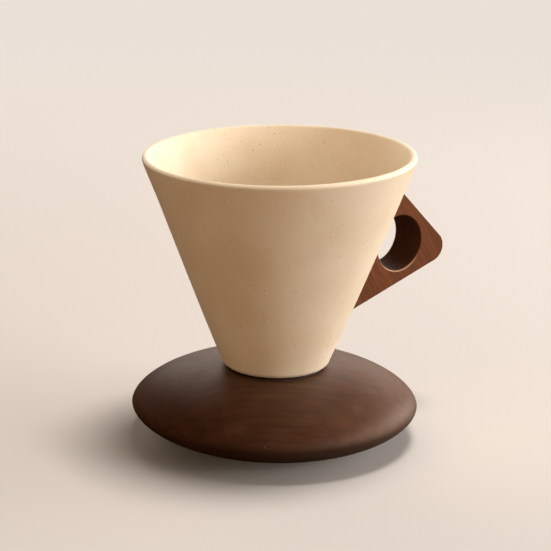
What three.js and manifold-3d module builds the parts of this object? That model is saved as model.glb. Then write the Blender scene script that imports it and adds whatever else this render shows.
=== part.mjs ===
// A pour-over coffee dripper: a ceramic cone with a wooden plate handle, standing in a turned wooden base.
//
// Millimetres, +Z up. The origin is on the cone's axis, in the plane of the base's foot.
// The handle stands on the +X side. The cone lifts straight up out of the base and turns freely in it.

import * as THREE from 'three';
import { mergeVertices } from 'three/addons/utils/BufferGeometryUtils.js';
import Module from 'manifold-3d';

const wasm = await Module();
wasm.setup();

const { degToRad } = THREE.MathUtils;

// ---- Driving dimensions ----

// The space left between pieces that touch
const GAP = 0.3;
const AROUND = 64;

// Ceramic cone
const RIM_RADIUS = 55;
const RIM_HEIGHT = 118.5;
const CONE_FOOT_HEIGHT = 30.2;
const WALL_ANGLE = degToRad(20.75);
const WALL_THICKNESS = 4.2;
const LIP_THICKNESS = 2.8;
const LIP_TAPER_DEPTH = 14;
const FOOT_EDGE_RADIUS = 3;

// Inside of the cone: a funnel floor, an outlet and straight ribs that hold the paper off the wall
const FLOOR_CORNER_HEIGHT = 38.6;
const FLOOR_SLOPE = Math.tan(degToRad(16));
const FLOOR_FILLET = 3;
const OUTLET_RADIUS = 8;
const OUTLET_EDGE = 1.2;
const RIB_COUNT = 12;
const RIB_RADIUS = 1.6;
const RIB_PROUD = 1.1;
const RIB_BOTTOM = 45;
const RIB_TOP = 79;

// Spout under the cone's foot
const SPOUT_RADIUS = 13;
const SPOUT_LENGTH = 12;
const SPOUT_EDGE = 1;

// Handle plate, in the vertical plane through the axis. Each edge is set by its angle to the horizontal
// and its distance from the centre of the finger hole.
const PLATE_THICKNESS = 16.6;
const PLATE_CHAMFER = 0.5;
const PLATE_CORNER_RADIUS = 6.5;
const UPPER_EDGE_ANGLE = degToRad(-44.7);
const UPPER_EDGE_DISTANCE = 16.2;
const LOWER_EDGE_ANGLE = degToRad(18);
const LOWER_EDGE_DISTANCE = 16.4;
const FINGER_HOLE_RADIUS = 11.9;
const FINGER_HOLE_REACH = 58.2;
const FINGER_HOLE_HEIGHT = 74.4;
const PLATE_BURIED = 4;

// Dowels, square to the cone's wall
const DOWEL_RADIUS = 2;
const DOWEL_LENGTH = 13.5;
const DOWEL_CHAMFER = 0.4;
const DOWEL_FLUTES = 10;
const FLUTE_DEPTH = 0.18;
const SOCKET_DEPTH = 2.2;
const LOWER_DOWEL_HEIGHT = 61.5;
const UPPER_DOWEL_HEIGHT = 95;

// Seat ring: a flange under the cone's foot and a sleeve round the spout
const SEAT_FLANGE_RADIUS = 19.6;
const SEAT_FLANGE_THICKNESS = 2.8;
const SEAT_WALL = 1.4;
const SEAT_SLEEVE_LENGTH = 7;
const SEAT_EDGE = 0.5;

// Base disc: a pebble whose upper and lower curves meet at its widest line
const BASE_RADIUS = 58.8;
const BASE_WIDEST_HEIGHT = 13.9;
const BASE_TOP_HEIGHT = 29.8;
const BASE_TOP_RADIUS = 20.9;
const BASE_TOP_ROUNDNESS = 1.6;
const BASE_FOOT_RADIUS = 22.5;
const BASE_FOOT_ROUNDNESS = 1.75;
const BASE_FOOT_EDGE = 0.6;
const BORE_CHAMFER = 1.2;

// ---- Sizes that follow ----

const LIP_RADIUS = LIP_THICKNESS / 2;
const LIP_CENTRE_HEIGHT = RIM_HEIGHT - LIP_RADIUS;
const LEVEL_WALL = WALL_THICKNESS / Math.cos(WALL_ANGLE);
const SPOUT_BOTTOM = CONE_FOOT_HEIGHT - SPOUT_LENGTH;
const SEAT_TOP = CONE_FOOT_HEIGHT - GAP;
const SEAT_INNER_RADIUS = SPOUT_RADIUS + GAP;
const SEAT_SLEEVE_RADIUS = SEAT_INNER_RADIUS + SEAT_WALL;
const BORE_RADIUS = SEAT_SLEEVE_RADIUS + GAP;
const COUNTERBORE_RADIUS = SEAT_FLANGE_RADIUS + GAP;
const COUNTERBORE_FLOOR = SEAT_TOP - SEAT_FLANGE_THICKNESS - GAP;
const SOCKET_RADIUS = DOWEL_RADIUS + GAP;

// Radius of the cone's outer wall at a height
function wallRadius(height) {
  const atLipCentre = RIM_RADIUS - LIP_RADIUS + LIP_RADIUS / Math.cos(WALL_ANGLE);
  return atLipCentre + Math.tan(WALL_ANGLE) * (height - LIP_CENTRE_HEIGHT);
}

// ---- Helpers ----

// Points of an arc in the radius-height plane, angles in radians from the outward direction
function arc(centreRadius, centreHeight, radius, from, to, steps) {
  const points = [];
  for (let i = 0; i <= steps; i += 1) {
    const angle = from + ((to - from) * i) / steps;
    points.push(new THREE.Vector2(
      centreRadius + radius * Math.cos(angle),
      centreHeight + radius * Math.sin(angle),
    ));
  }
  return points;
}

// A body turned about the Z axis from a closed profile that runs anticlockwise
function turned(profile, segments = AROUND) {
  const geometry = new THREE.LatheGeometry([...profile, profile[0]], segments);
  geometry.rotateX(Math.PI / 2);
  return geometry;
}

// Geometry with its shared vertices merged and its zero-area triangles left out, as a Manifold solid
function toSolid(geometry) {
  const bare = geometry.clone();
  bare.deleteAttribute('normal');
  bare.deleteAttribute('uv');
  const merged = mergeVertices(bare);
  const corners = [];
  for (let i = 0; i < merged.index.count; i += 3) {
    const triangle = [0, 1, 2].map((k) => merged.index.getX(i + k));
    if (new Set(triangle).size === 3) corners.push(...triangle);
  }
  return new wasm.Manifold(new wasm.Mesh({
    numProp: 3,
    vertProperties: new Float32Array(merged.attributes.position.array),
    triVerts: new Uint32Array(corners),
  }));
}

function toGeometry(solid) {
  const mesh = solid.getMesh();
  const geometry = new THREE.BufferGeometry();
  geometry.setAttribute('position', new THREE.BufferAttribute(mesh.vertProperties, 3));
  geometry.setIndex(new THREE.BufferAttribute(mesh.triVerts, 1));
  geometry.computeVertexNormals();
  return geometry;
}

function named(name, geometry, material) {
  const mesh = new THREE.Mesh(geometry, material);
  mesh.name = name;
  return mesh;
}

// ---- Ceramic cone ----

function coneProfile() {
  const footHeight = CONE_FOOT_HEIGHT + FOOT_EDGE_RADIUS;
  const footCentre = wallRadius(footHeight) - FOOT_EDGE_RADIUS / Math.cos(WALL_ANGLE);
  const taperBottom = LIP_CENTRE_HEIGHT - LIP_TAPER_DEPTH;
  const insideRadius = (height) => wallRadius(height) - LEVEL_WALL;

  // The corner between the inner wall and the funnel floor, rounded by a short curve
  const corner = new THREE.Vector2(insideRadius(FLOOR_CORNER_HEIGHT), FLOOR_CORNER_HEIGHT);
  const aboveCorner = corner.clone().add(
    new THREE.Vector2(Math.sin(WALL_ANGLE), Math.cos(WALL_ANGLE)).multiplyScalar(FLOOR_FILLET),
  );
  const onFloor = corner.clone().add(new THREE.Vector2(-FLOOR_FILLET, -FLOOR_FILLET * FLOOR_SLOPE));
  const fillet = new THREE.QuadraticBezierCurve(aboveCorner, corner, onFloor).getPoints(3);
  const outletTop = corner.y - FLOOR_SLOPE * (corner.x - OUTLET_RADIUS - OUTLET_EDGE);

  return [
    ...arc(OUTLET_RADIUS + SPOUT_EDGE, SPOUT_BOTTOM + SPOUT_EDGE, SPOUT_EDGE, -Math.PI, -Math.PI / 2, 2),
    ...arc(SPOUT_RADIUS - SPOUT_EDGE, SPOUT_BOTTOM + SPOUT_EDGE, SPOUT_EDGE, -Math.PI / 2, 0, 2),
    new THREE.Vector2(SPOUT_RADIUS, CONE_FOOT_HEIGHT),
    ...arc(footCentre, footHeight, FOOT_EDGE_RADIUS, -Math.PI / 2, -WALL_ANGLE, 4),
    ...arc(RIM_RADIUS - LIP_RADIUS, LIP_CENTRE_HEIGHT, LIP_RADIUS, -WALL_ANGLE, Math.PI, 6),
    new THREE.Vector2(insideRadius(taperBottom), taperBottom),
    ...fillet,
    ...arc(OUTLET_RADIUS + OUTLET_EDGE, outletTop - OUTLET_EDGE, OUTLET_EDGE, Math.PI / 2, Math.PI, 2),
  ];
}

// One straight rib, lying along the inner wall and rounded at both ends
function ribSolid(turn) {
  const length = (RIB_TOP - RIB_BOTTOM) / Math.cos(WALL_ANGLE);
  const middle = (RIB_TOP + RIB_BOTTOM) / 2;
  const sunk = (RIB_RADIUS - RIB_PROUD) / Math.cos(WALL_ANGLE);
  const rib = new THREE.CapsuleGeometry(RIB_RADIUS, length, 3, 10);
  rib.rotateX(Math.PI / 2);
  rib.rotateY(WALL_ANGLE);
  rib.translate(wallRadius(middle) - LEVEL_WALL + sunk, 0, middle);
  rib.rotateZ(turn);
  return toSolid(rib);
}

// The direction square to the outer wall on the handle's side, and a point of the wall at a height
const wallNormal = new THREE.Vector3(Math.cos(WALL_ANGLE), 0, -Math.sin(WALL_ANGLE));

function wallPoint(height) {
  return new THREE.Vector3(wallRadius(height), 0, height);
}

// A round cutter square to the wall, from a depth inside the wall to a reach outside it
function socketSolid(height, depth, reach) {
  const cutter = new THREE.CylinderGeometry(SOCKET_RADIUS, SOCKET_RADIUS, depth + reach, 20);
  cutter.rotateZ(-Math.PI / 2);
  cutter.rotateY(WALL_ANGLE);
  const centre = wallPoint(height).addScaledVector(wallNormal, (reach - depth) / 2);
  cutter.translate(centre.x, centre.y, centre.z);
  return toSolid(cutter);
}

function makeCone() {
  let cone = toSolid(turned(coneProfile()));
  for (let i = 0; i < RIB_COUNT; i += 1) {
    cone = cone.add(ribSolid(((i + 0.5) * 2 * Math.PI) / RIB_COUNT));
  }
  for (const height of [LOWER_DOWEL_HEIGHT, UPPER_DOWEL_HEIGHT]) {
    cone = cone.subtract(socketSolid(height, SOCKET_DEPTH, SOCKET_RADIUS));
  }
  return toGeometry(cone);
}

// ---- Handle ----

// Where a line through p along u meets a line through q along v
function meet(p, u, q, v) {
  const across = u.x * v.y - u.y * v.x;
  const along = ((q.x - p.x) * v.y - (q.y - p.y) * v.x) / across;
  return p.clone().addScaledVector(u, along);
}

function plateShape() {
  const hole = new THREE.Vector2(FINGER_HOLE_REACH, FINGER_HOLE_HEIGHT);
  const upperWay = new THREE.Vector2(Math.cos(UPPER_EDGE_ANGLE), Math.sin(UPPER_EDGE_ANGLE));
  const lowerWay = new THREE.Vector2(Math.cos(LOWER_EDGE_ANGLE), Math.sin(LOWER_EDGE_ANGLE));
  const upperOut = new THREE.Vector2(-upperWay.y, upperWay.x);
  const lowerOut = new THREE.Vector2(lowerWay.y, -lowerWay.x);

  // The outer corner's arc touches both edges
  const cornerCentre = meet(
    hole.clone().addScaledVector(upperOut, UPPER_EDGE_DISTANCE - PLATE_CORNER_RADIUS),
    upperWay,
    hole.clone().addScaledVector(lowerOut, LOWER_EDGE_DISTANCE - PLATE_CORNER_RADIUS),
    lowerWay,
  );

  // The inner side runs along the wall, inside it, until the cone's own shape is cut out
  const wallFoot = new THREE.Vector2(wallRadius(0) - PLATE_BURIED, 0);
  const wallWay = new THREE.Vector2(Math.sin(WALL_ANGLE), Math.cos(WALL_ANGLE));
  const upperInner = meet(
    hole.clone().addScaledVector(upperOut, UPPER_EDGE_DISTANCE), upperWay, wallFoot, wallWay,
  );
  const lowerInner = meet(
    hole.clone().addScaledVector(lowerOut, LOWER_EDGE_DISTANCE), lowerWay, wallFoot, wallWay,
  );

  const shape = new THREE.Shape();
  shape.absarc(cornerCentre.x, cornerCentre.y, PLATE_CORNER_RADIUS, lowerOut.angle(), upperOut.angle());
  shape.lineTo(upperInner.x, upperInner.y);
  shape.lineTo(lowerInner.x, lowerInner.y);
  shape.closePath();

  const fingerHole = new THREE.Path();
  fingerHole.absarc(hole.x, hole.y, FINGER_HOLE_RADIUS, 0, 2 * Math.PI, true);
  shape.holes.push(fingerHole);
  return shape;
}

// The cone's outer shape with the gap round it, for fitting the plate to the wall
function coneSpaceSolid() {
  const gapAcross = GAP / Math.cos(WALL_ANGLE);
  const profile = [
    new THREE.Vector2(0, CONE_FOOT_HEIGHT),
    new THREE.Vector2(wallRadius(CONE_FOOT_HEIGHT) + gapAcross, CONE_FOOT_HEIGHT),
    new THREE.Vector2(wallRadius(RIM_HEIGHT) + gapAcross, RIM_HEIGHT),
    new THREE.Vector2(0, RIM_HEIGHT),
  ];
  return toSolid(turned(profile));
}

function makeHandle() {
  const plate = new THREE.ExtrudeGeometry(plateShape(), {
    depth: PLATE_THICKNESS - 2 * PLATE_CHAMFER,
    bevelSize: PLATE_CHAMFER,
    bevelThickness: PLATE_CHAMFER,
    bevelOffset: -PLATE_CHAMFER,
    bevelSegments: 2,
    curveSegments: 18,
  });
  plate.translate(0, 0, PLATE_CHAMFER - PLATE_THICKNESS / 2);
  plate.rotateX(Math.PI / 2);
  let handle = toSolid(plate).subtract(coneSpaceSolid());
  const socketReach = DOWEL_LENGTH - SOCKET_DEPTH + 2 * GAP;
  for (const height of [LOWER_DOWEL_HEIGHT, UPPER_DOWEL_HEIGHT]) {
    handle = handle.subtract(socketSolid(height, GAP, socketReach));
  }
  return toGeometry(handle);
}

// ---- Dowels ----

// A fluted pin with chamfered ends, along +Z from the origin
function makeDowel() {
  const outline = [];
  const steps = DOWEL_FLUTES * 4;
  for (let i = 0; i < steps; i += 1) {
    const angle = (2 * Math.PI * i) / steps;
    const radius = DOWEL_RADIUS - (FLUTE_DEPTH / 2) * (1 - Math.cos(DOWEL_FLUTES * angle));
    outline.push(new THREE.Vector2(radius * Math.cos(angle), radius * Math.sin(angle)));
  }
  const dowel = new THREE.ExtrudeGeometry(new THREE.Shape(outline), {
    depth: DOWEL_LENGTH - 2 * DOWEL_CHAMFER,
    bevelSize: DOWEL_CHAMFER,
    bevelThickness: DOWEL_CHAMFER,
    bevelOffset: -DOWEL_CHAMFER,
    bevelSegments: 1,
  });
  dowel.translate(0, 0, DOWEL_CHAMFER);
  return dowel;
}

function placeDowel(dowel, height) {
  dowel.position.copy(wallPoint(height).addScaledVector(wallNormal, GAP - SOCKET_DEPTH));
  dowel.rotation.y = Math.PI / 2 + WALL_ANGLE;
  return dowel;
}

// ---- Seat ring ----

function makeSeatRing() {
  const flangeBottom = SEAT_TOP - SEAT_FLANGE_THICKNESS;
  const sleeveBottom = flangeBottom - SEAT_SLEEVE_LENGTH;
  const rim = SEAT_FLANGE_RADIUS - SEAT_EDGE;
  return turned([
    new THREE.Vector2(SEAT_INNER_RADIUS, sleeveBottom),
    new THREE.Vector2(SEAT_SLEEVE_RADIUS - SEAT_EDGE, sleeveBottom),
    new THREE.Vector2(SEAT_SLEEVE_RADIUS, sleeveBottom + SEAT_EDGE),
    new THREE.Vector2(SEAT_SLEEVE_RADIUS, flangeBottom),
    ...arc(rim, flangeBottom + SEAT_EDGE, SEAT_EDGE, -Math.PI / 2, 0, 2),
    ...arc(rim, SEAT_TOP - SEAT_EDGE, SEAT_EDGE, 0, Math.PI / 2, 2),
    new THREE.Vector2(SEAT_INNER_RADIUS + SEAT_EDGE, SEAT_TOP),
    new THREE.Vector2(SEAT_INNER_RADIUS, SEAT_TOP - SEAT_EDGE),
  ], 48);
}

// ---- Base disc ----

// A quarter of a superellipse from the widest line to a flat, given by its radius and height
function pebbleCurve(flatRadius, flatHeight, roundness, steps) {
  const points = [];
  for (let i = 0; i <= steps; i += 1) {
    const angle = (Math.PI / 2) * (i / steps);
    const across = Math.max(Math.cos(angle), 0) ** (2 / roundness);
    const up = Math.sin(angle) ** (2 / roundness);
    points.push(new THREE.Vector2(
      flatRadius + (BASE_RADIUS - flatRadius) * across,
      BASE_WIDEST_HEIGHT + (flatHeight - BASE_WIDEST_HEIGHT) * up,
    ));
  }
  return points;
}

function makeBase() {
  const lower = pebbleCurve(BASE_FOOT_RADIUS, 0, BASE_FOOT_ROUNDNESS, 10).reverse();
  const upper = pebbleCurve(BASE_TOP_RADIUS, BASE_TOP_HEIGHT, BASE_TOP_ROUNDNESS, 11);
  return turned([
    new THREE.Vector2(BORE_RADIUS, BORE_CHAMFER),
    new THREE.Vector2(BORE_RADIUS + BORE_CHAMFER, 0),
    ...lower,
    ...upper.slice(1),
    new THREE.Vector2(COUNTERBORE_RADIUS + GAP, BASE_TOP_HEIGHT),
    new THREE.Vector2(COUNTERBORE_RADIUS, BASE_TOP_HEIGHT - GAP),
    new THREE.Vector2(COUNTERBORE_RADIUS, COUNTERBORE_FLOOR),
    new THREE.Vector2(BORE_RADIUS, COUNTERBORE_FLOOR),
  ]);
}

// ---- Materials ----

const stoneware = new THREE.MeshStandardMaterial({ color: '#e6d0b0', roughness: 0.62, metalness: 0 });
const handleWalnut = new THREE.MeshStandardMaterial({ color: '#6b3f2a', roughness: 0.6, metalness: 0 });
const baseWalnut = new THREE.MeshStandardMaterial({ color: '#4a2b1c', roughness: 0.5, metalness: 0 });
const upperBeech = new THREE.MeshStandardMaterial({ color: '#c9a070', roughness: 0.75, metalness: 0 });
const lowerBeech = new THREE.MeshStandardMaterial({ color: '#c9a070', roughness: 0.75, metalness: 0 });
const silicone = new THREE.MeshStandardMaterial({ color: '#2b2320', roughness: 0.7, metalness: 0 });

// ---- Assembly ----

const cone = new THREE.Group();
cone.add(named('dripper_cone', makeCone(), stoneware));
cone.add(named('handle_block', makeHandle(), handleWalnut));
cone.add(placeDowel(named('handle_dowel_upper', makeDowel(), upperBeech), UPPER_DOWEL_HEIGHT));
cone.add(placeDowel(named('handle_dowel_lower', makeDowel(), lowerBeech), LOWER_DOWEL_HEIGHT));

const group = new THREE.Group();
group.add(named('base_disc', makeBase(), baseWalnut));
group.add(named('seat_ring', makeSeatRing(), silicone));
group.add(cone);

export default group;
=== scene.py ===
"""The looks of a pour-over coffee dripper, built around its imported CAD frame.

Metres, +Z up, in the CAD's frame: the cone's axis is the Z axis and the handle stands on the +X side.
Shapes are worked out in millimetres and scaled when their mesh is made. Every piece's object sits at
the origin, so that a shader's object coordinates are the frame's own.
"""

import math

import bmesh
import bpy
from mathutils import Matrix, Vector


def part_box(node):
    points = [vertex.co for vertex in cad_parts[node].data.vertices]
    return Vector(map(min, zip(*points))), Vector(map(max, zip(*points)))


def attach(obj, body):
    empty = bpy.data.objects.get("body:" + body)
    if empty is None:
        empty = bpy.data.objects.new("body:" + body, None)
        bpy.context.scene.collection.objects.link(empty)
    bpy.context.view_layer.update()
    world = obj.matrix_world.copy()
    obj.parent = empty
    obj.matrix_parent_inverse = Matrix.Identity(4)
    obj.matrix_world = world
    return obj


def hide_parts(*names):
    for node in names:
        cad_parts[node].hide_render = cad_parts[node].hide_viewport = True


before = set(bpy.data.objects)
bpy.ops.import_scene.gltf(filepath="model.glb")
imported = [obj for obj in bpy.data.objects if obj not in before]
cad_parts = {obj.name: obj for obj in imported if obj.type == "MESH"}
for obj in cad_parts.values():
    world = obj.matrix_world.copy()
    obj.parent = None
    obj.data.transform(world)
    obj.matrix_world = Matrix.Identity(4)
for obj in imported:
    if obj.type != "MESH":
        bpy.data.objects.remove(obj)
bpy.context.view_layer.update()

MM = 0.001


def box_mm(node):
    """The lowest and highest corner of a CAD node, in millimetres."""
    low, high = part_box(node)
    return Vector(low) / MM, Vector(high) / MM


CONE_LOW, CONE_HIGH = box_mm("dripper_cone")
_, BASE_HIGH = box_mm("base_disc")
SEAT_LOW, SEAT_HIGH = box_mm("seat_ring")
PLATE_LOW, PLATE_HIGH = box_mm("handle_block")

# ---- Sizes in millimetres: the frame's own, then the design's ----

RIM_RADIUS = 55
RIM_HEIGHT = CONE_HIGH.z
SPOUT_BOTTOM = CONE_LOW.z
SPOUT_LENGTH = 12
CONE_FOOT_HEIGHT = SPOUT_BOTTOM + SPOUT_LENGTH
WALL_ANGLE = math.radians(20.75)
WALL_THICKNESS = 4.2
LIP_RADIUS = 1.4
LIP_CENTRE_HEIGHT = RIM_HEIGHT - LIP_RADIUS
LIP_LEAN = math.radians(27)
LIP_TAPER_DEPTH = 22
FOOT_EDGE_RADIUS = 4
FOOT_DRAWN_IN = 0.85
RIM_LEAN = 1.1
RIM_LEAN_FROM = 96
RIM_LEAN_WAY = math.radians(-20)

FLOOR_CORNER_HEIGHT = 38.6
FLOOR_SLOPE = math.tan(math.radians(16))
FLOOR_FILLET = 3
OUTLET_RADIUS = 8
OUTLET_EDGE = 1.2
RIB_COUNT = 12
RIB_HALF_WIDTH = 2.6
RIB_PROUD = 1.3
RIB_BOTTOM = 48
RIB_TOP = 77
RIB_FADE = 7

SPOUT_RADIUS = 13
SPOUT_EDGE = 1
SPOUT_FILLET = 0.8

PLATE_THICKNESS = PLATE_HIGH.y - PLATE_LOW.y
PLATE_CORNER_RADIUS = 6.5
PLATE_EDGE_BREAK = 0.5
UPPER_EDGE_ANGLE = math.radians(-44.7)
UPPER_EDGE_DISTANCE = 16.2
LOWER_EDGE_ANGLE = math.radians(18)
LOWER_EDGE_DISTANCE = 16.4
FINGER_HOLE_RADIUS = 11.9
FINGER_HOLE = Vector((58.2, 74.4))
GLUE_LINE = 0.08

DOWEL_RADIUS = 2
DOWEL_LENGTH = 13.5
DOWEL_CHAMFER = 0.4
DOWEL_FLUTES = 10
STEPS_PER_FLUTE = 12
FLUTE_DEPTH = 0.22
SOCKET_DEPTH = 2.2
SOCKET_CLEARANCE = 0.15
SOCKET_END_GAP = 0.2
PLATE_SOCKET_END_GAP = 0.6
DOWEL_HEIGHTS = {"upper": 95, "lower": 61.5}

SEAT_FLANGE_RADIUS = SEAT_HIGH.x
SEAT_TOP = SEAT_HIGH.z
SEAT_BOTTOM = SEAT_LOW.z
SEAT_FLANGE_THICKNESS = 2.8
SEAT_INNER_RADIUS = 13.3
SEAT_SLEEVE_RADIUS = 14.7
SEAT_EDGE = 0.5
SEAT_SMALL_EDGE = 0.25

BASE_RADIUS = BASE_HIGH.x
BASE_TOP_HEIGHT = BASE_HIGH.z
BASE_WIDEST_HEIGHT = 13.9
BASE_TOP_RADIUS = 20.9
BASE_TOP_ROUNDNESS = 1.6
BASE_FOOT_RADIUS = 22.5
BASE_FOOT_ROUNDNESS = 1.75
BORE_RADIUS = 15
BORE_EDGE = 1.2
COUNTERBORE_RADIUS = 19.9
SEAT_GAP = 0.3
COUNTERBORE_FLOOR = SEAT_TOP - SEAT_FLANGE_THICKNESS - SEAT_GAP
COUNTERBORE_EDGE = 0.4

AROUND = 360


def wall_radius(height):
    """Radius of the cone's outer wall at a height. Near the foot the wall draws in a little more."""
    at_lip = RIM_RADIUS - LIP_RADIUS + LIP_RADIUS / math.cos(WALL_ANGLE)
    below_lip = min(max((LIP_CENTRE_HEIGHT - height) / (LIP_CENTRE_HEIGHT - CONE_FOOT_HEIGHT), 0), 1)
    return at_lip + math.tan(WALL_ANGLE) * (height - LIP_CENTRE_HEIGHT) - FOOT_DRAWN_IN * below_lip ** 3


# ---- Mesh helpers ----


def arc(centre_r, centre_z, radius, start, end, steps):
    """Points (radius, height) of an arc, angles in degrees from the outward direction."""
    points = []
    for i in range(steps + 1):
        angle = math.radians(start + (end - start) * i / steps)
        points.append((centre_r + radius * math.cos(angle), centre_z + radius * math.sin(angle)))
    return points


def run(start, end, steps):
    """Evenly spaced points from start up to, but without, end."""
    return [
        (start[0] + (end[0] - start[0]) * i / steps, start[1] + (end[1] - start[1]) * i / steps)
        for i in range(steps)
    ]


def curve(start, middle, end, steps):
    """Points of a quadratic curve from start to end, both included."""
    points = []
    for i in range(steps + 1):
        t = i / steps
        points.append(tuple(
            (1 - t) ** 2 * a + 2 * t * (1 - t) * b + t * t * c for a, b, c in zip(start, middle, end)
        ))
    return points


def new_object(name, maker, material=None):
    """An object in metres from a bmesh in millimetres."""
    mesh = bpy.data.meshes.new(name)
    maker.to_mesh(mesh)
    maker.free()
    mesh.transform(Matrix.Scale(MM, 4))
    if material:
        mesh.materials.append(material)
    thing = bpy.data.objects.new(name, mesh)
    bpy.context.collection.objects.link(thing)
    return thing


def add_piece(name, maker, material, body, replaced):
    """A finished piece from a bmesh: smooth, and riding on its body in place of its CAD node."""
    piece = new_object(name, maker, material)
    for polygon in piece.data.polygons:
        polygon.use_smooth = True
    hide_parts(replaced)
    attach(piece, body)
    return piece


def turned(profile, segments=AROUND, shape=None):
    """A closed ring turned about the Z axis from a closed profile that runs anticlockwise.

    shape(radius, angle, height) may give another radius and height for a point.
    """
    maker = bmesh.new()
    rings = []
    for i in range(segments):
        angle = 2 * math.pi * i / segments
        ring = []
        for radius, height in profile:
            if shape:
                radius, height = shape(radius, angle, height)
            ring.append(maker.verts.new((radius * math.cos(angle), radius * math.sin(angle), height)))
        rings.append(ring)
    count = len(profile)
    for i in range(segments):
        here, there = rings[i], rings[(i + 1) % segments]
        for j in range(count):
            k = (j + 1) % count
            maker.faces.new((here[j], there[j], there[k], here[k]))
    return maker


def smoothstep(low, high, value):
    t = min(max((value - low) / (high - low), 0), 1)
    return t * t * (3 - 2 * t)


def apply_modifiers(piece):
    """Turns the object's modifiers into its mesh."""
    graph = bpy.context.evaluated_depsgraph_get()
    done = bpy.data.meshes.new_from_object(piece.evaluated_get(graph))
    piece.modifiers.clear()
    piece.data = done


def cut_with(piece, cutters):
    """Cuts the cutters out of the piece and removes them."""
    for cutter in cutters:
        boolean = piece.modifiers.new("cut", "BOOLEAN")
        boolean.operation = "DIFFERENCE"
        boolean.solver = "EXACT"
        boolean.object = cutter
    bpy.context.view_layer.update()
    apply_modifiers(piece)
    for cutter in cutters:
        mesh = cutter.data
        bpy.data.objects.remove(cutter)
        bpy.data.meshes.remove(mesh)


# ---- Node helpers ----


def linear(red, green, blue):
    """A colour given as 0-255 display values, as the shader's linear RGBA."""
    def channel(value):
        value /= 255
        return value / 12.92 if value <= 0.04045 else ((value + 0.055) / 1.055) ** 2.4
    return (channel(red), channel(green), channel(blue), 1.0)


# The Mix node's colour sockets have the same names as its other kinds', so they go by number
MIX_FACTOR = 0
MIX_FIRST = 6
MIX_SECOND = 7
MIX_RESULT = 2


class Shader:
    """A node material being built. Each method adds one node and gives back its output."""

    def __init__(self, name):
        self.material = bpy.data.materials.new(name)
        self.material.use_nodes = True
        self.tree = self.material.node_tree
        self.tree.nodes.clear()

    def add(self, kind, inputs, **settings):
        node = self.tree.nodes.new(kind)
        for setting, value in settings.items():
            setattr(node, setting, value)
        for key, value in inputs.items():
            if isinstance(value, bpy.types.NodeSocket):
                self.tree.links.new(value, node.inputs[key])
            else:
                node.inputs[key].default_value = value
        return node

    def place(self):
        """The surface point in the frame, in millimetres."""
        where = self.add("ShaderNodeTexCoord", {}).outputs["Object"]
        scaled = self.add("ShaderNodeVectorMath", {0: where, "Scale": 1 / MM}, operation="SCALE")
        return scaled.outputs[0]

    def along(self, vector, direction):
        node = self.add("ShaderNodeVectorMath", {0: vector, 1: direction}, operation="DOT_PRODUCT")
        return node.outputs["Value"]

    def math(self, operation, first, second=0.0):
        return self.add("ShaderNodeMath", {0: first, 1: second}, operation=operation).outputs[0]

    def combine(self, x, y, z):
        return self.add("ShaderNodeCombineXYZ", {0: x, 1: y, 2: z}).outputs[0]

    def noise(self, vector, scale, detail=2.0, roughness=0.5):
        inputs = {"Vector": vector, "Scale": scale, "Detail": detail, "Roughness": roughness}
        return self.add("ShaderNodeTexNoise", inputs).outputs["Fac"]

    def cells(self, vector, scale):
        """Distance to the nearest scattered point, in cells, and that point's random number."""
        node = self.add("ShaderNodeTexVoronoi", {"Vector": vector, "Scale": scale})
        chance = self.add("ShaderNodeSeparateColor", {"Color": node.outputs["Color"]})
        return node.outputs["Distance"], chance.outputs[0]

    def spread(self, value, low, high, to_low=0.0, to_high=1.0, smooth=True):
        """Maps low..high onto to_low..to_high and holds it there."""
        inputs = {
            "Value": value, "From Min": low, "From Max": high, "To Min": to_low, "To Max": to_high,
        }
        kind = "SMOOTHSTEP" if smooth else "LINEAR"
        return self.add("ShaderNodeMapRange", inputs, interpolation_type=kind).outputs[0]

    def mix(self, factor, first, second):
        inputs = {MIX_FACTOR: factor, MIX_FIRST: first, MIX_SECOND: second}
        return self.add("ShaderNodeMix", inputs, data_type="RGBA").outputs[MIX_RESULT]

    def bump(self, height, depth_mm, normal=None):
        inputs = {"Height": height, "Strength": 1.0, "Distance": depth_mm * MM}
        if normal:
            inputs["Normal"] = normal
        return self.add("ShaderNodeBump", inputs).outputs[0]

    def finish(self, inputs):
        surface = self.add("ShaderNodeBsdfPrincipled", inputs)
        self.add("ShaderNodeOutputMaterial", {"Surface": surface.outputs[0]})
        return self.material


# ---- Materials ----


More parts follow.
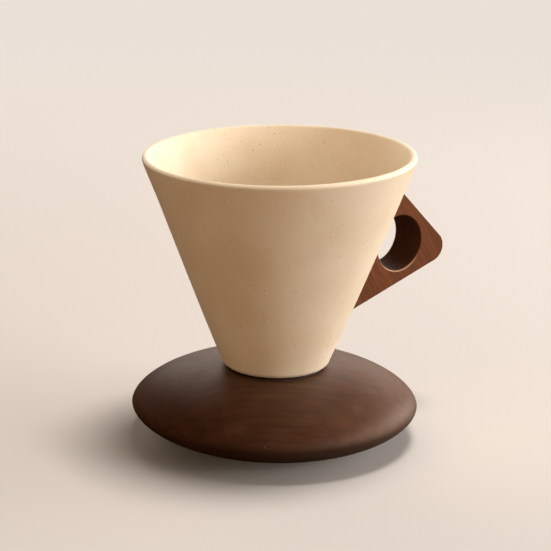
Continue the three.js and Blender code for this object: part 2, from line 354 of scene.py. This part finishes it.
def stoneware():
    """A matt cream glaze: a little cloudy, finely speckled with iron, bare clay under the foot."""
    s = Shader("stoneware")
    place = s.place()
    height = s.along(place, (0, 0, 1))

    cloud = s.spread(s.noise(place, 0.045, 3.0), 0.35, 0.65)
    glaze = s.mix(cloud, linear(238, 222, 197), linear(233, 214, 186))
    grainy = s.spread(s.noise(place, 2.6, 2.0, 0.6), 0.3, 0.7)
    glaze = s.mix(s.math("MULTIPLY", grainy, 0.22), glaze, linear(214, 188, 152))

    # Iron specks in three sizes, each with its cells per millimetre, the chance above which a cell has
    # a speck, the speck's radius in cells and its strength
    speck_colour = linear(150, 112, 72)
    middling, large, fine = (0.5, 0.76, 0.2, 0.46), (0.3, 0.7, 0.13, 0.55), (1.3, 0.7, 0.34, 0.32)
    for scale, keep, radius, depth in (middling, large, fine):
        distance, chance = s.cells(place, scale)
        dot = s.spread(distance, radius * 0.35, radius, 1.0, 0.0)
        chosen = s.spread(chance, keep, keep + 0.12)
        amount = s.math("MULTIPLY", s.math("MULTIPLY", dot, chosen), depth)
        glaze = s.mix(amount, glaze, speck_colour)

    bare = s.spread(height, CONE_FOOT_HEIGHT + 0.1, CONE_FOOT_HEIGHT + 0.5, 1.0, 0.0)
    colour = s.mix(bare, glaze, linear(205, 174, 138))

    skin = s.noise(place, 1.1, 4.0, 0.55)
    slow = s.noise(place, 0.09, 1.0)
    roughness = s.spread(skin, 0.3, 0.7, 0.50, 0.62, smooth=False)
    normal = s.bump(slow, 0.12)
    normal = s.bump(skin, 0.035, normal)
    return s.finish({
        "Base Color": colour,
        "Roughness": roughness,
        "Normal": normal,
        "Specular IOR Level": 0.42,
    })


def wood(name, along, across, up, pith, ring_width, colours, shine,
         gloss=0.5, ring_depth=0.34, pore_depth=0.03, finish_off=None):
    """Close-grained wood: growth rings round a pith that runs along the grain, fibres and open pores.

    along, across and up are the plank's own directions; pith is its (across, up) place in millimetres;
    colours are the dark, middle and light ones. finish_off may change the colour and the roughness.
    """
    s = Shader(name)
    place = s.place()
    lengthways = s.along(place, along)
    sideways = s.along(place, across)
    upwards = s.along(place, up)

    def stretched(long_scale, cross_scale):
        return s.combine(
            s.math("MULTIPLY", lengthways, long_scale),
            s.math("MULTIPLY", sideways, cross_scale),
            s.math("MULTIPLY", upwards, cross_scale),
        )

    # The trunk isn't straight, so the rings wander along the plank
    wander = s.noise(stretched(0.012, 0.035), 1.0, 3.0, 0.5)
    wander = s.spread(wander, 0.25, 0.75, -6.0, 6.0, smooth=False)
    offset = s.combine(
        0.0, s.math("SUBTRACT", sideways, pith[0]), s.math("SUBTRACT", upwards, pith[1]),
    )
    from_pith = s.add("ShaderNodeVectorMath", {0: offset}, operation="LENGTH")
    radius = s.math("ADD", from_pith.outputs["Value"], wander)
    ring = s.math("FRACT", s.math("DIVIDE", radius, ring_width))
    late_wood = s.math("MULTIPLY", s.spread(ring, 0.35, 0.9), s.spread(ring, 0.94, 1.0, 1.0, 0.0))

    streaks = s.noise(stretched(0.018, 0.42), 1.0, 4.0, 0.6)
    fibres = s.noise(stretched(0.09, 3.2), 1.0, 3.0, 0.6)
    patches = s.noise(stretched(0.010, 0.04), 1.0, 2.0)

    distance, chance = s.cells(stretched(0.24, 1.7), 1.0)
    pore = s.math("MULTIPLY", s.spread(distance, 0.08, 0.24, 1.0, 0.0), s.spread(chance, 0.45, 0.6))

    dark, middle, light = colours
    tone = s.math("ADD", s.math("MULTIPLY", s.spread(streaks, 0.28, 0.72), 0.62),
                  s.math("MULTIPLY", s.spread(fibres, 0.3, 0.7), 0.38))
    tone = s.math("SUBTRACT", tone, s.math("MULTIPLY", late_wood, ring_depth))
    colour = s.mix(s.spread(tone, 0.0, 0.5), dark, middle)
    colour = s.mix(s.spread(tone, 0.45, 1.0), colour, light)
    colour = s.mix(s.spread(patches, 0.35, 0.7, 0.0, 0.5), colour, middle)
    colour = s.mix(s.math("MULTIPLY", pore, 0.55), colour, dark)

    relief = s.math("SUBTRACT", s.math("MULTIPLY", fibres, 0.3), pore)
    roughness = s.math("ADD", s.spread(fibres, 0.3, 0.7, shine - 0.05, shine + 0.06, smooth=False),
                       s.math("MULTIPLY", pore, 0.12))
    if finish_off:
        colour, roughness = finish_off(s, place, colour, roughness)
    return s.finish({
        "Base Color": colour,
        "Roughness": roughness,
        "Normal": s.bump(relief, pore_depth),
        "Specular IOR Level": gloss,
        "Specular Tint": linear(255, 226, 200),
    })


def disc_wear_and_painted_underside_shade(s, place, colour, roughness):
    """Faint dry patches and a few small scuffs. Below its widest line the colour is darkened as a
    painted shade of the underside, and the wood is rougher there.
    """
    dry = s.spread(s.noise(place, 0.07, 4.0, 0.62), 0.5, 0.72)
    colour = s.mix(s.math("MULTIPLY", dry, 0.22), colour, linear(112, 80, 60))
    roughness = s.math("ADD", roughness, s.math("MULTIPLY", dry, 0.1))
    distance, chance = s.cells(place, 0.16)
    scuff = s.math("MULTIPLY", s.spread(distance, 0.03, 0.07, 1.0, 0.0), s.spread(chance, 0.8, 0.86))
    colour = s.mix(s.math("MULTIPLY", scuff, 0.6), colour, linear(150, 120, 98))
    height = s.along(place, (0, 0, 1))
    # Painted shade: below the widest line the colour is darkened towards a near-black brown.
    low = s.spread(height, BASE_WIDEST_HEIGHT - 2, BASE_WIDEST_HEIGHT + 5, 1.0, 0.0)
    colour = s.mix(s.math("MULTIPLY", low, 0.7), colour, linear(30, 15, 8))
    roughness = s.math("ADD", roughness, s.math("MULTIPLY", low, 0.42))
    return colour, roughness


def painted_hole_shade_and_rim_highlight(s, place, colour, roughness):
    """The finger hole's wall is painted dark as painted shade, and a pale painted highlight runs round
    its lower rims.
    """
    off_axis = s.add("ShaderNodeVectorMath", {
        0: s.combine(s.along(place, (1, 0, 0)), 0.0, s.along(place, (0, 0, 1))),
        1: (FINGER_HOLE.x, 0, FINGER_HOLE.y),
    }, operation="DISTANCE").outputs["Value"]
    from_middle = s.math("ABSOLUTE", s.along(place, (0, 1, 0)))
    face = PLATE_THICKNESS / 2
    painted_shade_on_hole_wall = s.spread(off_axis, FINGER_HOLE_RADIUS + 0.05, FINGER_HOLE_RADIUS + 0.3, 1.0, 0.0)
    near_hole = s.spread(off_axis, FINGER_HOLE_RADIUS + 0.35, FINGER_HOLE_RADIUS + 0.75, 1.0, 0.0)
    # Painted highlight: a pale band round the hole's lower rims, which are also made a little smoother.
    painted_highlight_lower_side = s.spread(s.along(place, (0, 0, 1)), FINGER_HOLE.y - 11, FINGER_HOLE.y - 5, 1.0, 0.0)
    at_face = s.spread(from_middle, face - 0.6, face - 0.2)
    rim = s.math("MULTIPLY", s.math("MULTIPLY", near_hole, painted_highlight_lower_side), at_face)
    # Painted shade: the hole's wall goes to a near-black brown.
    colour = s.mix(s.math("MULTIPLY", painted_shade_on_hole_wall, 0.62), colour, linear(34, 19, 12))
    # Painted highlight on the hole's lower rims.
    colour = s.mix(s.math("MULTIPLY", rim, 0.8), colour, linear(178, 140, 112))
    roughness = s.math("SUBTRACT", roughness, s.math("MULTIPLY", rim, 0.3))
    return colour, roughness


def silicone():
    """Dark brown moulded silicone, matt with a fine skin."""
    s = Shader("silicone")
    place = s.place()
    skin = s.noise(place, 2.2, 3.0, 0.6)
    dust = s.spread(s.noise(place, 0.25, 3.0), 0.5, 0.75)
    return s.finish({
        "Base Color": s.mix(s.math("MULTIPLY", dust, 0.35), linear(46, 36, 31), linear(74, 61, 53)),
        "Roughness": s.spread(skin, 0.3, 0.7, 0.55, 0.72, smooth=False),
        "Normal": s.bump(skin, 0.02),
        "Specular IOR Level": 0.4,
    })


# ---- Ceramic cone ----


def cone_profile():
    slope = math.degrees(WALL_ANGLE)
    level_wall = WALL_THICKNESS / math.cos(WALL_ANGLE)
    foot_z = CONE_FOOT_HEIGHT + FOOT_EDGE_RADIUS
    foot_r = wall_radius(foot_z) - FOOT_EDGE_RADIUS / math.cos(WALL_ANGLE)

    def inside(height):
        return wall_radius(height) - level_wall, height

    spout = [
        *arc(OUTLET_RADIUS + SPOUT_EDGE, SPOUT_BOTTOM + SPOUT_EDGE, SPOUT_EDGE, 180, 270, 6),
        *arc(SPOUT_RADIUS - SPOUT_EDGE, SPOUT_BOTTOM + SPOUT_EDGE, SPOUT_EDGE, -90, 0, 6),
        *run((SPOUT_RADIUS, SPOUT_BOTTOM + 2), (SPOUT_RADIUS, CONE_FOOT_HEIGHT - SPOUT_FILLET), 6),
        *arc(SPOUT_RADIUS + SPOUT_FILLET, CONE_FOOT_HEIGHT - SPOUT_FILLET, SPOUT_FILLET, 180, 90, 4),
    ]
    foot = arc(foot_r, foot_z, FOOT_EDGE_RADIUS, -90, -slope, 12)

    # The lip's arc stops short of level, and from there the inner wall grows to its full thickness
    lip_stop = 180 - math.degrees(LIP_LEAN)
    lip = arc(RIM_RADIUS - LIP_RADIUS, LIP_CENTRE_HEIGHT, LIP_RADIUS, -slope, lip_stop, 20)
    lip_end = lip[-1]
    wall_top = inside(RIM_HEIGHT)
    fall = math.tan(LIP_LEAN)
    drop = (lip_end[0] - wall_top[0] - fall * (lip_end[1] - RIM_HEIGHT)) / (fall - math.tan(WALL_ANGLE))
    taper = curve(lip_end, inside(RIM_HEIGHT - drop), inside(RIM_HEIGHT - LIP_TAPER_DEPTH), 16)

    corner = inside(FLOOR_CORNER_HEIGHT)
    above = (
        corner[0] + FLOOR_FILLET * math.sin(WALL_ANGLE),
        corner[1] + FLOOR_FILLET * math.cos(WALL_ANGLE),
    )
    on_floor = (corner[0] - FLOOR_FILLET, corner[1] - FLOOR_FILLET * FLOOR_SLOPE)
    outlet_top = corner[1] - FLOOR_SLOPE * (corner[0] - OUTLET_RADIUS - OUTLET_EDGE)
    floor_end = (OUTLET_RADIUS + OUTLET_EDGE, outlet_top)
    outlet = arc(floor_end[0], outlet_top - OUTLET_EDGE, OUTLET_EDGE, 90, 180, 6)

    return [
        *spout,
        *run((SPOUT_RADIUS + 2 * SPOUT_FILLET, CONE_FOOT_HEIGHT), foot[0], 4),
        *foot[:-1],
        *[(wall_radius(height), height) for _, height in run(foot[-1], lip[0], 60)],
        *lip[:-1],
        *taper[:-1],
        *run(taper[-1], above, 50),
        *curve(above, corner, on_floor, 8),
        *run(on_floor, floor_end, 8)[1:],
        *outlet,
        *run((OUTLET_RADIUS, outlet_top - 2), (OUTLET_RADIUS, SPOUT_BOTTOM + SPOUT_EDGE), 8)[1:],
    ]


def hand_finished(radius, angle, height):
    """Raises the ribs out of the inner wall, and leans the rim a little, as hand-made rims do."""
    height += RIM_LEAN * math.cos(angle - RIM_LEAN_WAY) * smoothstep(RIM_LEAN_FROM, RIM_HEIGHT, height)
    above_floor = height > FLOOR_CORNER_HEIGHT + FLOOR_FILLET
    inside = radius < wall_radius(height) - LIP_RADIUS * 2
    if not (above_floor and inside):
        return radius, height
    pitch = 2 * math.pi / RIB_COUNT
    across = abs((angle / pitch) % 1 - 0.5) * pitch * radius
    ends = smoothstep(RIB_BOTTOM - RIB_FADE, RIB_BOTTOM, height)
    ends *= 1 - smoothstep(RIB_TOP, RIB_TOP + RIB_FADE, height)
    crown = math.cos(math.pi / 2 * min(across / RIB_HALF_WIDTH, 1)) ** 2
    rise = RIB_PROUD * ends * crown
    return radius - rise * math.cos(WALL_ANGLE), height + rise * math.sin(WALL_ANGLE)


def wall_point(height):
    return Vector((wall_radius(height), 0, height))


WALL_NORMAL = Vector((math.cos(WALL_ANGLE), 0, -math.sin(WALL_ANGLE)))
ALONG_DOWEL = WALL_NORMAL.to_track_quat("Z", "Y").to_matrix().to_4x4()


def socket_cutter(height, depth, reach):
    """A round cutter square to the wall, from a depth inside it to a reach outside it."""
    maker = bmesh.new()
    radius = DOWEL_RADIUS + SOCKET_CLEARANCE
    centre = wall_point(height) + WALL_NORMAL * (reach - depth) / 2
    bmesh.ops.create_cone(
        maker, cap_ends=True, segments=48, radius1=radius, radius2=radius, depth=depth + reach,
        matrix=Matrix.Translation(centre) @ ALONG_DOWEL,
    )
    return new_object("cutter", maker)


def make_cone(material):
    maker = turned(cone_profile(), shape=hand_finished)
    cone = add_piece("ceramic_cone", maker, material, "dripper", "dripper_cone")
    cut_with(cone, [socket_cutter(h, SOCKET_DEPTH, DOWEL_RADIUS) for h in DOWEL_HEIGHTS.values()])
    return cone


# ---- Handle ----


def meet(p, u, q, v):
    """Where a line through p along u meets a line through q along v."""
    across = u.x * v.y - u.y * v.x
    along = ((q.x - p.x) * v.y - (q.y - p.y) * v.x) / across
    return p + u * along


def edge_way(angle):
    return Vector((math.cos(angle), math.sin(angle)))


UPPER_WAY = edge_way(UPPER_EDGE_ANGLE)
LOWER_WAY = edge_way(LOWER_EDGE_ANGLE)
UPPER_OUT = Vector((-UPPER_WAY.y, UPPER_WAY.x))
LOWER_OUT = Vector((LOWER_WAY.y, -LOWER_WAY.x))
CORNER_CENTRE = meet(
    FINGER_HOLE + UPPER_OUT * (UPPER_EDGE_DISTANCE - PLATE_CORNER_RADIUS), UPPER_WAY,
    FINGER_HOLE + LOWER_OUT * (LOWER_EDGE_DISTANCE - PLATE_CORNER_RADIUS), LOWER_WAY,
)


def against_wall(height, y, inset):
    """Where the plate's inner side is, at a height and a distance y from the middle plane."""
    radius = wall_radius(height) + (GLUE_LINE + inset) / math.cos(WALL_ANGLE)
    return math.sqrt(radius * radius - y * y)


def edge_at_wall(start, way, y, inset):
    """The point of an edge line that lies on the plate's inner side, found by halving."""
    low, high = 0.0, 80.0
    for _ in range(40):
        middle = (low + high) / 2
        point = start - way * middle
        if point.x > against_wall(point.y, y, inset):
            low = middle
        else:
            high = middle
    return start - way * low


def plate_outline(y, inset):
    """The plate's outline at y, drawn in by the inset: up the wall, along the top, round and back."""
    corner = PLATE_CORNER_RADIUS - inset
    upper_start = CORNER_CENTRE + UPPER_OUT * corner
    lower_start = CORNER_CENTRE + LOWER_OUT * corner
    upper_end = edge_at_wall(upper_start, UPPER_WAY, y, inset)
    lower_end = edge_at_wall(lower_start, LOWER_WAY, y, inset)

    def straight(start, end, steps):
        return [start.lerp(end, i / steps) for i in range(steps)]

    points = []
    wall_steps = 60
    for i in range(wall_steps):
        height = lower_end.y + (upper_end.y - lower_end.y) * i / wall_steps
        points.append(Vector((against_wall(height, y, inset), height)))
    points += straight(upper_end, upper_start, 40)
    turn = UPPER_OUT.angle_signed(LOWER_OUT)
    first = math.atan2(UPPER_OUT.y, UPPER_OUT.x)
    corner_steps = 24
    for i in range(corner_steps):
        points.append(CORNER_CENTRE + edge_way(first - turn * i / corner_steps) * corner)
    points += straight(lower_start, lower_end, 44)
    return points


def hole_outline(inset):
    steps = 120
    radius = FINGER_HOLE_RADIUS + inset
    return [FINGER_HOLE + edge_way(2 * math.pi * i / steps) * radius for i in range(steps)]


def plate_layers():
    """(y, inset) pairs through the plate's thickness, with both faces' edges rounded."""
    half = PLATE_THICKNESS / 2
    flat = half - PLATE_EDGE_BREAK
    edge = []
    edge_steps = 6
    for i in range(edge_steps + 1):
        angle = math.pi / 2 * i / edge_steps
        out, inset = PLATE_EDGE_BREAK * math.sin(angle), PLATE_EDGE_BREAK * (1 - math.cos(angle))
        edge.append((flat + out, inset))
    middle_steps = 14
    middle = [(-flat + 2 * flat * i / middle_steps, 0.0) for i in range(1, middle_steps)]
    return [(-y, inset) for y, inset in reversed(edge)] + middle + edge


def ring_of(maker, outline, y):
    return [maker.verts.new((p.x, y, p.y)) for p in outline]


def close_loop(ring):
    return list(zip(ring, ring[1:] + ring[:1]))


def make_handle(material):
    maker = bmesh.new()
    layers = plate_layers()
    outer = [ring_of(maker, plate_outline(y, inset), y) for y, inset in layers]
    hole = [ring_of(maker, hole_outline(inset), y) for y, inset in layers]
    for rings in (outer, hole):
        for here, there in zip(rings, rings[1:]):
            for (a, b), (c, d) in zip(close_loop(here), close_loop(there)):
                maker.faces.new((a, b, d, c))
    for end in (0, -1):
        rim = [maker.edges.get(pair) for ring in (outer[end], hole[end]) for pair in close_loop(ring)]
        bmesh.ops.triangle_fill(maker, edges=rim, use_beauty=True)
    bmesh.ops.recalc_face_normals(maker, faces=maker.faces)
    handle = add_piece("walnut_handle", maker, material, "dripper", "handle_block")
    reach = DOWEL_LENGTH - SOCKET_DEPTH + PLATE_SOCKET_END_GAP
    cut_with(handle, [socket_cutter(h, 1, reach) for h in DOWEL_HEIGHTS.values()])
    weighted = handle.modifiers.new("flat faces stay flat", "WEIGHTED_NORMAL")
    weighted.keep_sharp = True
    bpy.context.view_layer.update()
    apply_modifiers(handle)
    return handle


# ---- Dowels ----


def make_dowel(which, material):
    """A beech pin with straight flutes and tapered ends."""
    start = wall_point(DOWEL_HEIGHTS[which]) + WALL_NORMAL * (SOCKET_END_GAP - SOCKET_DEPTH)
    place = Matrix.Translation(start) @ ALONG_DOWEL
    taper = DOWEL_CHAMFER
    levels = [(0, -taper), (taper * 0.5, -taper * 0.35), (taper, 0)]
    levels += [(taper + (DOWEL_LENGTH - 2 * taper) * i / 8, 0) for i in range(1, 8)]
    levels += [(DOWEL_LENGTH - z, shrink) for z, shrink in reversed(levels[:3])]
    steps = DOWEL_FLUTES * STEPS_PER_FLUTE
    maker = bmesh.new()
    rings = []
    for z, shrink in levels:
        ring = []
        for i in range(steps):
            angle = 2 * math.pi * i / steps
            flute = FLUTE_DEPTH * max(math.cos(DOWEL_FLUTES * angle), 0) ** 2
            radius = DOWEL_RADIUS - flute + shrink
            point = Vector((radius * math.cos(angle), radius * math.sin(angle), z))
            ring.append(maker.verts.new(place @ point))
        rings.append(ring)
    for here, there in zip(rings, rings[1:]):
        for (a, b), (c, d) in zip(close_loop(here), close_loop(there)):
            maker.faces.new((a, b, d, c))
    for ring, z in ((rings[0], 0), (rings[-1], DOWEL_LENGTH)):
        centre = maker.verts.new(place @ Vector((0, 0, z)))
        for a, b in close_loop(ring):
            maker.faces.new((a, b, centre))
    bmesh.ops.recalc_face_normals(maker, faces=maker.faces)
    name, replaced = f"beech_dowel_{which}", f"handle_dowel_{which}"
    return add_piece(name, maker, material, "dripper", replaced)


# ---- Seat ring ----


def make_seat(material):
    edge = SEAT_EDGE
    flange_bottom = SEAT_TOP - SEAT_FLANGE_THICKNESS
    rim = SEAT_FLANGE_RADIUS - edge
    neck = SEAT_SMALL_EDGE
    profile = [
        *arc(SEAT_INNER_RADIUS + neck, SEAT_BOTTOM + neck, neck, 180, 270, 4),
        *arc(SEAT_SLEEVE_RADIUS - edge, SEAT_BOTTOM + edge, edge, -90, 0, 5),
        *run((SEAT_SLEEVE_RADIUS, SEAT_BOTTOM + 1), (SEAT_SLEEVE_RADIUS, flange_bottom - neck), 6),
        *arc(SEAT_SLEEVE_RADIUS + neck, flange_bottom - neck, neck, 180, 90, 4),
        *arc(rim, flange_bottom + edge, edge, -90, 0, 5),
        *arc(rim, SEAT_TOP - edge, edge, 0, 90, 5),
        *run((rim - 1, SEAT_TOP), (SEAT_INNER_RADIUS + edge, SEAT_TOP), 4),
        *arc(SEAT_INNER_RADIUS + edge, SEAT_TOP - edge, edge, 90, 180, 5),
        *run((SEAT_INNER_RADIUS, SEAT_TOP - 1), (SEAT_INNER_RADIUS, SEAT_BOTTOM + neck), 8),
    ]
    return add_piece("silicone_seat", turned(profile, 240), material, "seat", "seat_ring")


# ---- Base disc ----


def pebble_curve(flat_radius, flat_height, roundness, steps):
    """A quarter of a superellipse from the widest line to a flat."""
    points = []
    for i in range(steps + 1):
        angle = math.pi / 2 * i / steps
        across = max(math.cos(angle), 0) ** (2 / roundness)
        rise = math.sin(angle) ** (2 / roundness)
        points.append((
            flat_radius + (BASE_RADIUS - flat_radius) * across,
            BASE_WIDEST_HEIGHT + (flat_height - BASE_WIDEST_HEIGHT) * rise,
        ))
    return points


def make_base(material):
    edge = COUNTERBORE_EDGE
    below_top = BASE_TOP_HEIGHT - 2 * edge
    lower = pebble_curve(BASE_FOOT_RADIUS, 0, BASE_FOOT_ROUNDNESS, 48)[::-1]
    upper = pebble_curve(BASE_TOP_RADIUS, BASE_TOP_HEIGHT, BASE_TOP_ROUNDNESS, 60)
    profile = [
        *arc(BORE_RADIUS + BORE_EDGE, BORE_EDGE, BORE_EDGE, 180, 270, 8),
        *run((BORE_RADIUS + BORE_EDGE + 1, 0), lower[0], 6),
        *lower,
        *upper[1:],
        *arc(COUNTERBORE_RADIUS + edge, BASE_TOP_HEIGHT - edge, edge, 90, 180, 5),
        *run((COUNTERBORE_RADIUS, below_top), (COUNTERBORE_RADIUS, COUNTERBORE_FLOOR), 4),
        *run((COUNTERBORE_RADIUS, COUNTERBORE_FLOOR), (BORE_RADIUS + edge, COUNTERBORE_FLOOR), 6),
        *arc(BORE_RADIUS + edge, COUNTERBORE_FLOOR - edge, edge, 90, 180, 4),
        *run((BORE_RADIUS, COUNTERBORE_FLOOR - 2), (BORE_RADIUS, BORE_EDGE), 12),
    ]
    return add_piece("walnut_base", turned(profile), material, "base", "base_disc")


# ---- Everything in place ----

LOOK_AZIMUTH = -37.83
LOOK_WAY = math.radians(LOOK_AZIMUTH)
RIGHTWARDS = Vector((math.cos(LOOK_WAY), math.sin(LOOK_WAY), 0))
AWAY = Vector((-math.sin(LOOK_WAY), math.cos(LOOK_WAY), 0))
UPWARDS = Vector((0, 0, 1))
SIDEWAYS = Vector((0, 1, 0))

clay = stoneware()
rubber = silicone()
base_wood = wood(
    "base_walnut", RIGHTWARDS, AWAY, UPWARDS, pith=(14, -70), ring_width=3.1,
    colours=(linear(60, 32, 16), linear(76, 42, 23), linear(93, 54, 31)), shine=0.5, gloss=0.68,
    ring_depth=0.24, finish_off=disc_wear_and_painted_underside_shade,
)
HANDLE_GRAIN_ANGLE = math.radians(-58)
HANDLE_GRAIN = Vector((math.cos(HANDLE_GRAIN_ANGLE), 0, math.sin(HANDLE_GRAIN_ANGLE)))
handle_wood = wood(
    "handle_walnut", HANDLE_GRAIN, HANDLE_GRAIN.cross(SIDEWAYS), SIDEWAYS,
    pith=(-60, 35), ring_width=2.4,
    colours=(linear(84, 44, 23), linear(102, 56, 30), linear(118, 68, 39)), shine=0.62, gloss=0.16,
    ring_depth=0.14, finish_off=painted_hole_shade_and_rim_highlight,
)
beech = wood(
    "beech", WALL_NORMAL, SIDEWAYS, WALL_NORMAL.cross(SIDEWAYS), pith=(30, 20), ring_width=1.6,
    colours=(linear(176, 132, 88), linear(200, 158, 112), linear(216, 180, 138)), shine=0.6,
    pore_depth=0.02,
)

make_cone(clay)
make_handle(handle_wood)
for which in DOWEL_HEIGHTS:
    make_dowel(which, beech)
make_seat(rubber)
make_base(base_wood)

# ---- Floor ----

FLOOR_COLOUR = linear(200, 194, 190)
BACKDROP_COLOUR = linear(234, 224, 215)
BLACK = (0, 0, 0, 1)
FLOOR_BOUNCE = (0.13, 0.08, 0.05, 1)
FLOOR_FADES_FROM = 220
FLOOR_FADES_TO = 1000
FLOOR_HALF_SIZE = 4000


def make_floor():
    """A plain pale floor that fades into the backdrop.

    What it throws back onto the object is a warmer, darker light, as from a wooden table.
    """
    s = Shader("floor")
    far = s.add("ShaderNodeVectorMath", {0: s.place()}, operation="LENGTH").outputs["Value"]
    fade = s.spread(far, FLOOR_FADES_FROM, FLOOR_FADES_TO)
    seen = s.add("ShaderNodeLightPath", {}).outputs["Is Camera Ray"]
    colour = s.mix(seen, FLOOR_BOUNCE, s.mix(fade, FLOOR_COLOUR, BLACK))
    glow = s.mix(s.math("MULTIPLY", seen, fade), BLACK, BACKDROP_COLOUR)
    material = s.finish({
        "Base Color": colour,
        "Roughness": 0.75,
        "Specular IOR Level": 0.0,
        "Emission Color": glow,
        "Emission Strength": 1.0,
    })
    maker = bmesh.new()
    bmesh.ops.create_grid(maker, x_segments=8, y_segments=8, size=FLOOR_HALF_SIZE)
    new_object("floor", maker, material)


make_floor()

# ---- Light ----

AIM_HEIGHT = 0.06
ROOM_GLOW = (0.066, 0.05, 0.036, 1)


def add_light(name, turn, elevation, distance, size, brightness, colour):
    """A soft box round the object. turn is in degrees from the camera's side, anticlockwise from above.

    brightness is what the light alone would give a white surface that faces it, 1 being display white.
    """
    way = LOOK_WAY + math.radians(turn)
    rise = math.radians(elevation)
    towards = Vector((math.sin(way) * math.cos(rise), -math.cos(way) * math.cos(rise), math.sin(rise)))
    light = bpy.data.lights.new(name, "AREA")
    light.shape = "RECTANGLE"
    light.size, light.size_y = size
    light.energy = brightness * (math.pi * distance) ** 2
    light.color = colour
    lamp = bpy.data.objects.new(name, light)
    lamp.location = Vector((0, 0, AIM_HEIGHT)) + towards * distance
    lamp.rotation_euler = towards.to_track_quat("Z", "Y").to_euler()
    lamp.visible_camera = False
    bpy.context.collection.objects.link(lamp)
    return lamp


# Daylight comes low from the right, as in the photo. The last three only fill in the shade, so they
# don't show in reflections.
add_light("window", 75, 11, 1.5, (0.8, 0.6), 0.84, (1.0, 0.97, 0.93))
add_light("side", 118, 12, 1.5, (1.0, 0.7), 0.86, (1.0, 0.97, 0.94))
add_light("curtain", 176, 18, 1.9, (1.5, 1.0), 0.27, (1.0, 0.91, 0.82))
add_light("back", -150, 18, 1.6, (1.2, 0.8), 0.38, (1.0, 0.86, 0.72)).visible_glossy = False
add_light("fill", -25, 9, 1.6, (1.6, 0.5), 0.335, (1.0, 0.74, 0.50)).visible_glossy = False
add_light("ceiling", 125, 80, 2.0, (0.6, 0.6), 0.82, (1.0, 0.95, 0.89)).visible_glossy = False

world = bpy.data.worlds.new("world")
world.use_nodes = True
background = world.node_tree.nodes["Background"]
light_path = world.node_tree.nodes.new("ShaderNodeLightPath")
world_mix = world.node_tree.nodes.new("ShaderNodeMix")
world_mix.data_type = "RGBA"
world_mix.inputs[MIX_FIRST].default_value = ROOM_GLOW
world_mix.inputs[MIX_SECOND].default_value = BACKDROP_COLOUR
world.node_tree.links.new(light_path.outputs["Is Camera Ray"], world_mix.inputs[MIX_FACTOR])
world.node_tree.links.new(world_mix.outputs[MIX_RESULT], background.inputs["Color"])
bpy.context.scene.world = world
bpy.context.scene.view_settings.view_transform = "Standard"

# ---- Camera ----

CAMERA_DISTANCE = 0.770
CAMERA_HEIGHT = RIM_HEIGHT * MM + 0.1745
CAMERA_PITCH = math.radians(16.315)
CAMERA_ROLL = math.radians(1.22)
CAMERA_YAW = math.radians(0.051)
LENS_MM = 128.93

ahead = AWAY * math.cos(CAMERA_YAW) - RIGHTWARDS * math.sin(CAMERA_YAW)
forward = ahead * math.cos(CAMERA_PITCH) - UPWARDS * math.sin(CAMERA_PITCH)
level_right = ahead.cross(UPWARDS)
right = level_right * math.cos(CAMERA_ROLL) + level_right.cross(forward) * math.sin(CAMERA_ROLL)
camera_data = bpy.data.cameras.new("camera")
camera_data.sensor_width = 36
camera_data.lens = LENS_MM
camera = bpy.data.objects.new("camera", camera_data)
turned_to = Matrix((right, right.cross(forward), -forward)).transposed().to_4x4()
camera.matrix_world = Matrix.Translation(-AWAY * CAMERA_DISTANCE + UPWARDS * CAMERA_HEIGHT) @ turned_to
bpy.context.collection.objects.link(camera)
bpy.context.scene.camera = camera

bpy.context.view_layer.update()
